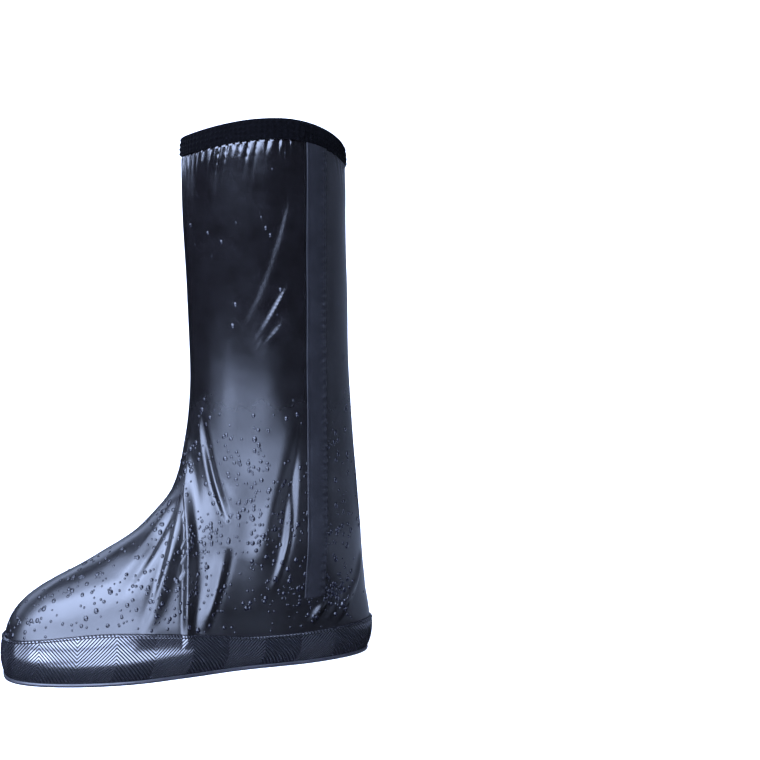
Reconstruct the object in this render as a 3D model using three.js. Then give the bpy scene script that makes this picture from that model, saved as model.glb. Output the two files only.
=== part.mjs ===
// A knee-high waterproof cover for a left shoe: a hollow upper of coated sheet with a gathered top,
// an elastic cuff folded over its rim, a closure flap on the outer rear side, a ribbed band round the
// foot, and a flat outsole. Millimetres, +Z up. The toe points along -X and the outer side faces -Y.
// The origin is on the floor, under the middle of the whole cover.
import * as THREE from "three";

// Overall sizes
const coverHeight = 436;
const soleLength = 298;
const legDepth = 131;
const legWidth = 116;
const ballWidth = 108;
const waistWidth = 80;
const heelWidth = 84;
const toeInward = 7; // how far the toe leans towards the inner side, +Y

// Rim of the leg, which is highest at the sides
const rimFrontDrop = 11;
const rimBackDrop = 18;
const rimDropStart = 0.6; // share of the height where the drop begins

// Sheet thicknesses, and the gap kept between pieces
const sheetThickness = 1.2;
const bandThickness = 1.6;
const flapThickness = 1.1;
const cuffThickness = 1.4;
const outsoleThickness = 3;
const clearance = 0.3;

// Elastic cuff, and the gathers that it pulls into the sheet below
const cuffHeight = 16;
const cuffInnerHeight = 10;
const cuffRibs = 2;
const cuffRibDepth = 0.5;
const cuffRounding = 0.9; // how far the rim's edges are rounded down
const gatherDepth = 1.3;
const gatherLength = 30;
const gatherStart = 5; // how far below the cuff the gathers reach their depth

// Closure flap
const flapFrontAlong = 0.78; // its free front edge, as a share of the sole's length from the toe
const flapBackAlong = 0.838; // its sewn back edge
const flapBottom = 56;
const flapClearance = 0.5;
const flapColumns = 4;
const flapCalmMargin = 8; // how far beside the flap the sheet stays calm
const flapCalmEdge = 6; // over which the folds grow beyond it

// Ribbed band and outsole
const bandOverlap = 11; // how far the upper reaches down inside the band
const bandLip = 0.8; // how far the top lip stands out
const bandLipHeight = 2.2;
const weltWidth = 1.4;
const outsoleBevel = 0.8;

// Folds
const foldWidth = 9;
const foldRise = 3.8;
const foldTopMargin = 5; // how far below the cuff the folds start to grow
const foldTopGrowth = 17; // over which they reach their height
const foldFootGrowth = 15; // the same above the floor

// How finely the sheets are divided
const legSides = 36;
const footSides = 2 * legSides; // also round the gathers
const normalStep = 0.004;
const levelNormalUp = 0.03; // below which the outward direction turns level

// One row for each level of the cover. up is a share of the height. backIn is how far the back edge
// lies in front of the heel's, as a share of the leg's depth. reach runs from 0, where the front edge
// is the leg's, to 1 at the toe. deep is a share of the leg's depth. toe and heel are shares of
// the widths, leg runs from 0 for the foot's widths to 1 for the leg's, and square rounds the ends.
const levels = [
  { up: 0.0, backIn: 0.03, reach: 0.985, deep: 1.0, toe: 0.96, heel: 0.93, leg: 0, square: 2.7 },
  { up: 0.028, backIn: 0.0, reach: 1.0, deep: 1.0, toe: 0.99, heel: 0.99, leg: 0, square: 2.7 },
  { up: 0.06, backIn: -0.01, reach: 0.998, deep: 1.0, toe: 0.97, heel: 1.03, leg: 0, square: 2.6 },
  { up: 0.092, backIn: 0.0, reach: 0.982, deep: 1.0, toe: 0.91, heel: 1.08, leg: 0, square: 2.5 },
  { up: 0.12, backIn: 0.015, reach: 0.942, deep: 1.0, toe: 0.89, heel: 1.13, leg: 0.05, square: 2.4 },
  { up: 0.145, backIn: 0.023, reach: 0.872, deep: 1.0, toe: 0.87, heel: 1.17, leg: 0.1, square: 2.35 },
  { up: 0.17, backIn: 0.034, reach: 0.757, deep: 1.0, toe: 0.86, heel: 1.22, leg: 0.15, square: 2.3 },
  { up: 0.193, backIn: 0.042, reach: 0.622, deep: 1.0, toe: 0.88, heel: 1.24, leg: 0.22, square: 2.25 },
  { up: 0.217, backIn: 0.05, reach: 0.5, deep: 1.0, toe: 0.92, heel: 1.24, leg: 0.32, square: 2.2 },
  { up: 0.245, backIn: 0.057, reach: 0.368, deep: 1.0, toe: 0.95, heel: 1.2, leg: 0.45, square: 2.15 },
  { up: 0.277, backIn: 0.065, reach: 0.265, deep: 1.0, toe: 0.95, heel: 1.12, leg: 0.6, square: 2.1 },
  { up: 0.315, backIn: 0.073, reach: 0.165, deep: 1.0, toe: 0.955, heel: 1.03, leg: 0.75, square: 2.05 },
  { up: 0.357, backIn: 0.084, reach: 0.105, deep: 1.0, toe: 0.91, heel: 1.0, leg: 0.88, square: 2.0 },
  { up: 0.405, backIn: 0.099, reach: 0.062, deep: 1.0, toe: 0.892, heel: 0.955, leg: 1, square: 2.0 },
  { up: 0.465, backIn: 0.115, reach: 0.03, deep: 0.99, toe: 0.915, heel: 0.925, leg: 1, square: 2.0 },
  { up: 0.545, backIn: 0.13, reach: 0.01, deep: 0.98, toe: 0.945, heel: 0.905, leg: 1, square: 2.0 },
  { up: 0.69, backIn: 0.138, reach: 0.005, deep: 0.995, toe: 0.918, heel: 0.938, leg: 1, square: 2.0 },
  { up: 0.85, backIn: 0.15, reach: 0.0, deep: 1.01, toe: 0.962, heel: 0.962, leg: 1, square: 2.0 },
  { up: 0.94, backIn: 0.152, reach: 0.0, deep: 1.01, toe: 0.985, heel: 0.985, leg: 1, square: 2.0 },
  { up: 1.0, backIn: 0.165, reach: 0.0, deep: 0.985, toe: 0.965, heel: 0.965, leg: 1, square: 2.0 },
];

// Widths along the foot, from the toe (0) to the heel (1): shares of the ball's, waist's and heel's.
const footWidths = [
  { along: 0.0, ball: 0.97, waist: 0, heel: 0 },
  { along: 0.3, ball: 1, waist: 0, heel: 0 },
  { along: 0.45, ball: 0.55, waist: 0.45, heel: 0 },
  { along: 0.62, ball: 0, waist: 1, heel: 0 },
  { along: 0.82, ball: 0, waist: 0, heel: 1 },
  { along: 1.0, ball: 0, waist: 0, heel: 1 },
];

// Height of the ribbed band's top edge along the foot.
const bandTops = [
  { along: 0.0, up: 0.075 },
  { along: 0.25, up: 0.092 },
  { along: 0.48, up: 0.078 },
  { along: 0.65, up: 0.062 },
  { along: 1.0, up: 0.066 },
];

// One row for each fold. side is -1 for the outer side and 1 for the inner. start, bend and end are
// places on that side: the share of the sole's length from the toe, then the share of the cover's
// height. wide and rise are shares of foldWidth and foldRise, and a negative rise is a valley.
const folds = [
  { side: -1, start: [0.768, 0.935], bend: [0.71, 0.71], end: [0.632, 0.626], wide: 1.3, rise: 0.9 },
  { side: -1, start: [0.763, 0.733], bend: [0.689, 0.649], end: [0.64, 0.59], wide: 1.2, rise: 1 },
  { side: -1, start: [0.744, 0.652], bend: [0.7, 0.62], end: [0.658, 0.585], wide: 1.0, rise: 0.6 },
  { side: -1, start: [0.764, 0.48], bend: [0.69, 0.33], end: [0.655, 0.2], wide: 1.2, rise: 0.9 },
  { side: -1, start: [0.79, 0.47], bend: [0.72, 0.3], end: [0.69, 0.16], wide: 1.4, rise: -1.2 },
  { side: -1, start: [0.755, 0.33], bend: [0.765, 0.235], end: [0.7, 0.15], wide: 0.8, rise: 1 },
  { side: -1, start: [0.52, 0.469], bend: [0.523, 0.366], end: [0.574, 0.279], wide: 1.0, rise: -1.1 },
  { side: -1, start: [0.565, 0.235], bend: [0.54, 0.15], end: [0.5, 0.08], wide: 0.9, rise: 1.1 },
  { side: -1, start: [0.49, 0.42], bend: [0.455, 0.21], end: [0.455, 0.06], wide: 0.8, rise: 1.5 },
  { side: -1, start: [0.479, 0.348], bend: [0.415, 0.2], end: [0.345, 0.085], wide: 0.9, rise: 1.2 },
  { side: -1, start: [0.46, 0.32], bend: [0.41, 0.26], end: [0.29, 0.155], wide: 1, rise: -1 },
  { side: -1, start: [0.866, 0.15], bend: [0.84, 0.11], end: [0.8, 0.075], wide: 0.9, rise: 0.8 },
  { side: -1, start: [0.935, 0.15], bend: [0.92, 0.11], end: [0.87, 0.07], wide: 0.9, rise: 0.8 },
  { side: 1, start: [0.52, 0.34], bend: [0.53, 0.2], end: [0.56, 0.09], wide: 1.7, rise: 0.8 },
  { side: 1, start: [0.53, 0.4], bend: [0.62, 0.25], end: [0.68, 0.12], wide: 1.3, rise: 1 },
  { side: 1, start: [0.46, 0.25], bend: [0.42, 0.18], end: [0.4, 0.1], wide: 1.7, rise: 0.6 },
  { side: 1, start: [0.12, 0.11], bend: [0.2, 0.13], end: [0.3, 0.11], wide: 1.1, rise: 0.8 },
  { side: 1, start: [0.62, 0.5], bend: [0.72, 0.36], end: [0.84, 0.2], wide: 1.7, rise: -1.1 },
  { side: 1, start: [0.86, 0.9], bend: [0.84, 0.7], end: [0.76, 0.52], wide: 1.4, rise: 0.8 },
];

const foldSamples = 12;
const foldEnd = 0.08; // how far into its fade a fold starts, as a share of the fold's length
const foldFadePower = 0.7;
const foldTrough = 0.9; // depth of the shallow valleys beside a ridge

function mix(a, b, share) {
  return a + (b - a) * share;
}

function smooth(share) {
  const t = Math.min(1, Math.max(0, share));
  return t * t * (3 - 2 * t);
}

// A smooth curve through the rows of a table: at is the value of the column by, and name the column read.
function readTable(rows, by, name, at) {
  let i = 0;
  while (i < rows.length - 2 && at > rows[i + 1][by]) i += 1;
  const here = rows[i];
  const next = rows[i + 1];
  const before = rows[Math.max(0, i - 1)];
  const after = rows[Math.min(rows.length - 1, i + 2)];
  const span = next[by] - here[by];
  const t = Math.min(1, Math.max(0, (at - here[by]) / span));
  const slopeHere = ((next[name] - before[name]) / (next[by] - before[by])) * span;
  const slopeNext = ((after[name] - here[name]) / (after[by] - here[by])) * span;
  const t2 = t * t;
  const t3 = t2 * t;
  return (
    (2 * t3 - 3 * t2 + 1) * here[name] +
    (t3 - 2 * t2 + t) * slopeHere +
    (3 * t2 - 2 * t3) * next[name] +
    (t3 - t2) * slopeNext
  );
}

// Front and back edges, and the rounding and widths, of the level at a share of the height.
function levelAt(up) {
  const read = (name) => readTable(levels, "up", name, up);
  const back = soleLength - legDepth * read("backIn");
  const legFront = back - legDepth * read("deep");
  const front = mix(legFront, 0, read("reach"));
  return {
    middle: (back + front) / 2,
    half: (back - front) / 2,
    toe: read("toe"),
    heel: read("heel"),
    leg: read("leg"),
    square: read("square"),
  };
}

function footHalfWidth(along) {
  const read = (name) => readTable(footWidths, "along", name, along);
  return (ballWidth * read("ball") + waistWidth * read("waist") + heelWidth * read("heel")) / 2;
}

// How far the rim lies below the sides' height at a turn.
function rimDrop(turn) {
  const lengthwise = Math.cos(turn);
  return (lengthwise > 0 ? rimBackDrop : rimFrontDrop) * lengthwise * lengthwise;
}

// A point of the smooth outer face. turn is 0 at the middle of the back and pi at the toe, by way of
// the outer side, and up is a share of the height. X runs from the toe, at 0, to the heel.
function basePoint(turn, up) {
  const level = levelAt(up);
  const lengthwise = Math.cos(turn);
  const x = level.middle + level.half * lengthwise;
  const across = Math.sin(turn);
  const roundness = Math.pow(1 - Math.pow(Math.abs(lengthwise), level.square), 1 / level.square);
  const slim = mix(level.toe, level.heel, smooth((lengthwise + 1) / 2));
  const width = mix(footHalfWidth(x / soleLength), legWidth / 2, level.leg) * slim;
  const inward = toeInward * Math.pow(1 - x / soleLength, 2);
  const z = coverHeight * up - rimDrop(turn) * smooth((up - rimDropStart) / (1 - rimDropStart));
  return new THREE.Vector3(x, inward - Math.sign(across) * width * roundness, z);
}

// The outward direction at a point, which is level at the floor.
function baseNormal(turn, up) {
  const low = Math.max(0, up - normalStep);
  const high = Math.min(1, up + normalStep);
  const around = basePoint(turn + normalStep, up).sub(basePoint(turn - normalStep, up));
  const upward = basePoint(turn, high).sub(basePoint(turn, low));
  const normal = upward.cross(around).normalize();
  normal.z *= smooth(up / levelNormalUp);
  return normal.normalize();
}

// The turn at which a level passes a share of the sole's length, on one side.
function turnAt(along, up, side) {
  const level = levelAt(up);
  const lengthwise = (along * soleLength - level.middle) / level.half;
  const turn = Math.acos(Math.min(0.999, Math.max(-0.999, lengthwise)));
  return side < 0 ? turn : 2 * Math.PI - turn;
}

// Each fold's line on the smooth face, as points in space.
const foldLines = folds.map((fold) => {
  const plan = new THREE.QuadraticBezierCurve(
    new THREE.Vector2(...fold.start),
    new THREE.Vector2(...fold.bend),
    new THREE.Vector2(...fold.end),
  );
  const points = plan.getPoints(foldSamples).map((p) => basePoint(turnAt(p.x, p.y, fold.side), p.y));
  return { points, width: foldWidth * fold.wide, rise: foldRise * fold.rise };
});

// How far one fold lifts a point: a ridge between two shallow valleys, fading towards its ends.
function foldLift(line, point) {
  let nearest = Infinity;
  let place = 0;
  const segment = new THREE.Line3();
  const foot = new THREE.Vector3();
  for (let i = 0; i < foldSamples; i += 1) {
    segment.set(line.points[i], line.points[i + 1]);
    const t = segment.closestPointToPointParameter(point, true);
    const distance = segment.at(t, foot).distanceTo(point);
    if (distance < nearest) {
      nearest = distance;
      place = (i + t) / foldSamples;
    }
  }
  const q = nearest / line.width;
  const fade = Math.pow(Math.sin(Math.PI * mix(foldEnd, 1 - foldEnd, place)), foldFadePower);
  return line.rise * fade * (1 - foldTrough * q * q) * Math.exp(-q * q);
}

const cuffUp = 1 - cuffHeight / coverHeight;

// The flap's front and back edges as turns.
const flapFrontTurn = (up) => turnAt(flapFrontAlong, up, -1);
const flapBackTurn = (up) => turnAt(flapBackAlong, up, -1);

// How freely the sheet folds: 1 away from the flap and 0 under it, where two layers are stiff.
function looseness(turn, up) {
  const edgeTurn = flapCalmEdge / (legWidth / 2);
  const marginTurn = flapCalmMargin / (legWidth / 2);
  const front = smooth((turn - flapFrontTurn(up) - marginTurn) / edgeTurn);
  const back = smooth((flapBackTurn(up) - turn - marginTurn) / edgeTurn);
  const below = smooth((flapBottom - flapCalmMargin - up * coverHeight) / flapCalmEdge);
  return Math.min(1, Math.max(front, back, below));
}

// How far the folds and gathers move the outer face at a point. gather is 1 on a ridge, -1 in a
// valley and 0 where a piece ignores the gathers.
function lift(turn, up, gather) {
  const point = basePoint(turn, up);
  const below = (cuffUp - up) * coverHeight;
  const fromFloor = smooth((up * coverHeight) / foldFootGrowth);
  const settled = smooth((below - foldTopMargin) / foldTopGrowth) * fromFloor;
  const folded = foldLines.reduce((sum, line) => sum + foldLift(line, point), 0) * settled;
  const pulled = below > 0 ? smooth(below / gatherStart) * Math.exp(-below / (gatherLength / 2)) : 0;
  return (folded + gather * gatherDepth * pulled) * looseness(turn, up);
}

// A point at an offset outside the upper's outer face.
function skinPoint(turn, up, offset, gather = 0) {
  const normal = baseNormal(turn, up);
  return basePoint(turn, up).addScaledVector(normal, lift(turn, up, gather) + offset);
}

// A ring of points round the cover, with gathers on every other one where gathered is true.
function ring(count, up, offset, gathered = false) {
  return Array.from({ length: count }, (_, i) => {
    const turn = (2 * Math.PI * i) / count;
    const gather = gathered ? (i % 2 ? -1 : 1) : 0;
    const height = typeof up === "function" ? up(turn) : up;
    return skinPoint(turn, height, offset, gather);
  });
}

// Triangles between two rings, the second with as many points as the first, twice or half as many.
// The diagonals climb the same way on both faces of a wall, so that nested walls stay parallel.
function stitch(lower, upper, triangles) {
  const a = lower.length;
  const b = upper.length;
  const cells = Math.min(a, b);
  for (let i = 0; i < cells; i += 1) {
    const next = (i + 1) % cells;
    if (a === b && upper[i].z >= lower[i].z) {
      triangles.push([lower[i], upper[i], upper[next]], [lower[i], upper[next], lower[next]]);
    } else if (a === b) {
      triangles.push([lower[i], upper[i], lower[next]], [upper[i], upper[next], lower[next]]);
    } else if (b > a) {
      const middle = upper[2 * i + 1];
      triangles.push([lower[i], upper[2 * i], middle]);
      triangles.push([lower[i], middle, lower[next]]);
      triangles.push([lower[next], middle, upper[2 * next]]);
    } else {
      const middle = lower[2 * i + 1];
      triangles.push([lower[2 * i], upper[i], middle]);
      triangles.push([middle, upper[i], upper[next]]);
      triangles.push([middle, upper[next], lower[2 * next]]);
    }
  }
}

function geometryOf(triangles) {
  const points = triangles.flat();
  return new THREE.BufferGeometry().setFromPoints(points);
}

// A wall that closes on itself: rings up its outer face, and down its inner face.
function wallGeometry(rings) {
  const triangles = [];
  rings.forEach((lower, i) => stitch(lower, rings[(i + 1) % rings.length], triangles));
  return geometryOf(triangles);
}

// A slab between two grids of points with the same rows and columns, the first one outside.
function slabGeometry(outer, inner) {
  const triangles = [];
  const face = (a, b, c, d) => triangles.push([a, b, c], [a, c, d]);
  const rows = outer.length - 1;
  const columns = outer[0].length - 1;
  for (let r = 0; r < rows; r += 1) {
    for (let c = 0; c < columns; c += 1) {
      face(outer[r][c], outer[r + 1][c], outer[r + 1][c + 1], outer[r][c + 1]);
      face(inner[r][c], inner[r][c + 1], inner[r + 1][c + 1], inner[r + 1][c]);
    }
    face(outer[r][0], inner[r][0], inner[r + 1][0], outer[r + 1][0]);
    face(outer[r][columns], outer[r + 1][columns], inner[r + 1][columns], inner[r][columns]);
  }
  for (let c = 0; c < columns; c += 1) {
    face(outer[0][c], outer[0][c + 1], inner[0][c + 1], inner[0][c]);
    face(outer[rows][c], inner[rows][c], inner[rows][c + 1], outer[rows][c + 1]);
  }
  return geometryOf(triangles);
}

// The band's top edge, read at the place along the foot where the edge is about level with the floor.
function bandTopUp(turn) {
  const along = basePoint(turn, bandTops[0].up).x / soleLength;
  return readTable(bandTops, "along", "up", along);
}

// The upper's lower edge, hidden inside the band.
function hemUp(turn) {
  return bandTopUp(turn) - bandOverlap / coverHeight;
}

function meshOf(name, geometry, colour, roughness) {
  geometry.computeVertexNormals();
  const material = new THREE.MeshStandardMaterial({ color: colour, roughness, metalness: 0 });
  const mesh = new THREE.Mesh(geometry, material);
  mesh.name = name;
  return mesh;
}

const sheetColour = "#23242e";
const bandColour = "#191a20";
const cuffColour = "#101116";

// Heights of the upper's rings between the band and the cuff, closer together where the sheet bends.
const footUps = [
  0.115, 0.133, 0.149, 0.163, 0.176, 0.189, 0.202, 0.215, 0.229, 0.244, 0.261, 0.28, 0.302, 0.328, 0.358,
  0.392,
];
const legUps = [0.43, 0.472, 0.516, 0.56, 0.604, 0.65, 0.7, 0.75, 0.8, 0.845, 0.88];
const gatherUps = [0.87, 0.47, 0.17].map((share) => cuffUp - (share * gatherLength) / coverHeight);
const upperUps = [...footUps, ...legUps, ...gatherUps, cuffUp];

// The upper starts inside the band and ends inside the cuff.
function makeUpper() {
  const rimUp = 1 - (cuffThickness + clearance) / coverHeight;
  const face = (offset) => [
    ring(footSides, hemUp, offset),
    ring(footSides, bandTopUp, offset),
    ...footUps.map((up) => ring(footSides, up, offset)),
    ...legUps.map((up) => ring(legSides, up, offset)),
    ...gatherUps.map((up) => ring(footSides, up, offset, true)),
    ring(footSides, cuffUp, offset),
    ring(legSides, rimUp, offset),
  ];
  const outer = face(0);
  const inner = face(-sheetThickness).reverse();
  return meshOf("upper_shell", wallGeometry([...outer, ...inner]), sheetColour, 0.25);
}

// The cuff is folded over the rim: an outer wall with ribs, and a shorter inner wall.
function makeCuff() {
  const topUp = 1;
  const innerFace = -(sheetThickness + clearance);
  const edgeUp = topUp - cuffRounding / coverHeight;
  const outerRings = Array.from({ length: 2 * cuffRibs + 1 }, (_, i) => {
    const up = mix(cuffUp, edgeUp, i / (2 * cuffRibs));
    return ring(legSides, up, clearance + cuffThickness - (i % 2 ? cuffRibDepth : 0));
  });
  const innerUp = 1 - cuffInnerHeight / coverHeight;
  const slotUp = 1 - cuffThickness / coverHeight;
  const rings = [
    ...outerRings,
    ring(legSides, topUp, clearance / 2),
    ring(legSides, topUp, innerFace - cuffThickness / 2),
    ring(legSides, edgeUp, innerFace - cuffThickness),
    ring(legSides, innerUp, innerFace - cuffThickness),
    ring(legSides, innerUp, innerFace),
    ring(legSides, slotUp, innerFace),
    ring(legSides, slotUp, clearance),
    ring(legSides, cuffUp, clearance),
  ];
  return meshOf("cuff_band", wallGeometry(rings), cuffColour, 0.8);
}

// The flap lies on the outer rear side of the leg, from the foot up to the cuff's lower edge.
function makeFlap() {
  const bottomUp = flapBottom / coverHeight;
  const topUp = cuffUp - clearance / coverHeight;
  const ups = [bottomUp, ...upperUps.filter((up) => up > bottomUp && up < topUp), topUp];
  const shares = Array.from({ length: flapColumns + 1 }, (_, c) => c / flapColumns);
  const row = (up, offset) =>
    shares.map((share) => skinPoint(mix(flapBackTurn(up), flapFrontTurn(up), share), up, offset));
  const grid = (offset) => ups.map((up) => row(up, offset));
  const geometry = slabGeometry(grid(flapClearance + flapThickness), grid(flapClearance));
  return meshOf("closure_flap", geometry, sheetColour, 0.35);
}

// The band stands on the outsole and laps outside the upper's lower edge, with a thicker lip on top.
function makeBand() {
  const footUp = (outsoleThickness + clearance) / coverHeight;
  const belowHem = (share) => (turn) => mix(footUp, hemUp(turn), share);
  const lipFoot = (turn) => bandTopUp(turn) - bandLipHeight / coverHeight;
  const face = clearance + bandThickness;
  const outer = [
    ...[0, 0.5, 1].map((share) => ring(footSides, belowHem(share), face)),
    ring(footSides, lipFoot, face),
    ring(footSides, lipFoot, face + bandLip),
    ring(footSides, bandTopUp, face + bandLip / 2),
  ];
  const inner = [1, 0.5, 0].map((share) => ring(footSides, belowHem(share), clearance));
  return meshOf(
    "sole_band",
    wallGeometry([...outer, ring(footSides, bandTopUp, clearance), ...inner]),
    bandColour,
    0.55,
  );
}

// The outsole is a flat plate, a welt's width wider than the band.
function makeOutsole() {
  const edge = clearance + bandThickness + weltWidth - outsoleBevel;
  const outline = ring(footSides, 0, 0).map((p, i) => {
    const turn = (2 * Math.PI * i) / footSides;
    const outward = baseNormal(turn, 0).setZ(0).normalize();
    return new THREE.Vector2(p.x + outward.x * edge, p.y + outward.y * edge);
  });
  const geometry = new THREE.ExtrudeGeometry(new THREE.Shape(outline.reverse()), {
    depth: outsoleThickness - 2 * outsoleBevel,
    bevelThickness: outsoleBevel,
    bevelSize: outsoleBevel,
    bevelSegments: 2,
  });
  geometry.translate(0, 0, outsoleBevel);
  return meshOf("outsole", geometry, bandColour, 0.6);
}

const cover = new THREE.Group();
cover.add(makeUpper(), makeCuff(), makeFlap(), makeBand(), makeOutsole());
const bounds = new THREE.Box3().setFromObject(cover, true);
const centre = bounds.getCenter(new THREE.Vector3());
cover.position.set(-centre.x, -centre.y, -bounds.min.z);

export default cover;
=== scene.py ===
"""A knee-high waterproof cover for a left shoe: a wet glossy sheet with a gathered top, an elastic cuff,
a closure flap, a band embossed with a herringbone, and a flat outsole. Metres, +Z up, toe along -X."""

import math

import bpy
import numpy as np
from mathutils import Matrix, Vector


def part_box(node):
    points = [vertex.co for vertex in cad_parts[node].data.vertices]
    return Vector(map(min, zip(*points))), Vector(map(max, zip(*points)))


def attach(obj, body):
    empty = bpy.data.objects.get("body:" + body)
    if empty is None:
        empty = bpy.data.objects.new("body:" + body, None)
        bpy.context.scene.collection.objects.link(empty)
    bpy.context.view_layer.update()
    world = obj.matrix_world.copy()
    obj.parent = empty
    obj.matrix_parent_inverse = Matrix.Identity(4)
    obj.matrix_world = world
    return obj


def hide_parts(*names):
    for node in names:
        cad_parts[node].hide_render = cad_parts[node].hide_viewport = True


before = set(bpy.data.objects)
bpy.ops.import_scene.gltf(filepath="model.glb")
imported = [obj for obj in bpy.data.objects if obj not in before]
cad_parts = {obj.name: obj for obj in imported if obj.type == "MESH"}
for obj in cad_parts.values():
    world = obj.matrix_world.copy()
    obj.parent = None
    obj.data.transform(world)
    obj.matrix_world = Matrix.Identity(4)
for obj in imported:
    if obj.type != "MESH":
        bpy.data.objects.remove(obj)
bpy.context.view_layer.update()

# Overall sizes, as in the part's source
cover_height = 0.436
sole_length = 0.298
leg_depth = 0.131
leg_width = 0.116
ball_width = 0.108
waist_width = 0.080
heel_width = 0.084
toe_inward = 0.007

rim_front_drop = 0.011
rim_back_drop = 0.018
rim_drop_start = 0.6

sheet_thickness = 0.0012
band_thickness = 0.0016
flap_thickness = 0.0011
cuff_thickness = 0.0014
outsole_thickness = 0.003
clearance = 0.0003

cuff_height = 0.016
cuff_inner_height = 0.010
cuff_section = 0.03  # length of its section on its map
cuff_rows = 4
cuff_puckers = 96
cuff_pucker_depth = 0.0004
cuff_bulge = 0.0006
cuff_stitch_pull = 0.0004
lap_thickness = 0.0012
lap_step_behind = 0.0005
lap_reach, lap_rounding, lap_edge, lap_run_out = 0.9, 0.09, 0.03, 0.4  # radians of turn

gather_count = 56
gather_depth = 0.0017
gather_slant = 190  # how far the pleats slant: radians of their wave for each metre down
gather_length = 0.012
gather_evenness, gather_unevenness = 0.45, 0.85
gather_ridge = 0.3  # how far the ridges stand out of the sheet's own face, as a share of the depth

# Undulations of the sheet, in metres, and shares of the height at which folds and they die out
sway_depth, sway_length = 0.0003, 0.075
ripple_depth, ripple_length = 0.0001, 0.028
fold_top_margin, fold_top_growth, fold_foot_growth = 0.012, 0.04, 0.035
sway_foot, sway_foot_growth = 0.07, 0.05

flap_front_along = 0.78
flap_back_along = 0.838
flap_bottom = 0.056
flap_clearance = 0.0005
flap_calm_margin = 0.004
flap_calm_edge = 0.006
flap_swell = 0.0003
flap_pucker_depth = 0.0004
flap_pucker_length = 0.0065
flap_edge_rise = 0.0009
# Across the flap from its back edge: the two rows of stitches, the puckers' line and the standing edge
flap_back_stitches, flap_front_stitches, flap_edge_start = 0.1, 0.86, 0.82

band_overlap = 0.011
band_bulge = 0.0005
band_lip = 0.0009
band_lip_height = 0.0022
welt_width = 0.0014
welt_rounding = 0.0009

bead_count = 1000
bead_least, bead_spread = 0.0008, 0.0013  # radius of the smallest bead, and how much more the largest has
bead_height = 0.48  # of its radius
wettest_along, wettest_up = 0.88, 0.13  # the most beaded patch, at the flap's foot

# Rows: share of the height, how far the back edge lies in front of the heel's, reach towards the toe,
# depth, slimming of the front and back half, leg's share of the width, and squareness of the ends.
levels = np.array(
    [
        # up, back_in, reach, deep, toe_slim, heel_slim, leg, square
        (0.0, 0.03, 0.985, 1.0, 0.96, 0.93, 0, 2.7),
        (0.028, 0.0, 1.0, 1.0, 0.99, 0.99, 0, 2.7),
        (0.06, -0.01, 0.998, 1.0, 0.97, 1.03, 0, 2.6),
        (0.092, 0.0, 0.982, 1.0, 0.91, 1.08, 0, 2.5),
        (0.12, 0.015, 0.942, 1.0, 0.89, 1.13, 0.05, 2.4),
        (0.145, 0.023, 0.872, 1.0, 0.87, 1.17, 0.1, 2.35),
        (0.17, 0.034, 0.757, 1.0, 0.86, 1.22, 0.15, 2.3),
        (0.193, 0.042, 0.622, 1.0, 0.88, 1.24, 0.22, 2.25),
        (0.217, 0.05, 0.5, 1.0, 0.92, 1.24, 0.32, 2.2),
        (0.245, 0.057, 0.368, 1.0, 0.95, 1.2, 0.45, 2.15),
        (0.277, 0.065, 0.265, 1.0, 0.95, 1.12, 0.6, 2.1),
        (0.315, 0.073, 0.165, 1.0, 0.955, 1.03, 0.75, 2.05),
        (0.357, 0.084, 0.105, 1.0, 0.91, 1.0, 0.88, 2.0),
        (0.405, 0.099, 0.062, 1.0, 0.892, 0.955, 1, 2.0),
        (0.465, 0.115, 0.03, 0.99, 0.915, 0.925, 1, 2.0),
        (0.545, 0.13, 0.01, 0.98, 0.945, 0.905, 1, 2.0),
        (0.69, 0.138, 0.005, 0.995, 0.918, 0.938, 1, 2.0),
        (0.85, 0.15, 0.0, 1.01, 0.962, 0.962, 1, 2.0),
        (0.94, 0.152, 0.0, 1.01, 0.985, 0.985, 1, 2.0),
        (1.0, 0.165, 0.0, 0.985, 0.965, 0.965, 1, 2.0),
    ],
    dtype=[(c, float) for c in ("up", "back_in", "reach", "deep", "toe_slim", "heel_slim", "leg", "square")],
)

# Along the foot from the toe (0) to the heel (1): shares of the ball's, waist's and heel's widths.
foot_widths = np.array(
    [
        (0.0, 0.97, 0, 0),
        (0.3, 1, 0, 0),
        (0.45, 0.55, 0.45, 0),
        (0.62, 0, 1, 0),
        (0.82, 0, 0, 1),
        (1.0, 0, 0, 1),
    ],
    dtype=[(c, float) for c in ("along", "ball", "waist", "heel")],
)

# The band's top edge: the place along the foot, and the share of the cover's height.
band_tops = np.array(
    [(0.0, 0.075), (0.25, 0.092), (0.48, 0.078), (0.65, 0.062), (1.0, 0.066)],
    dtype=[("along", float), ("up", float)],
)

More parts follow.
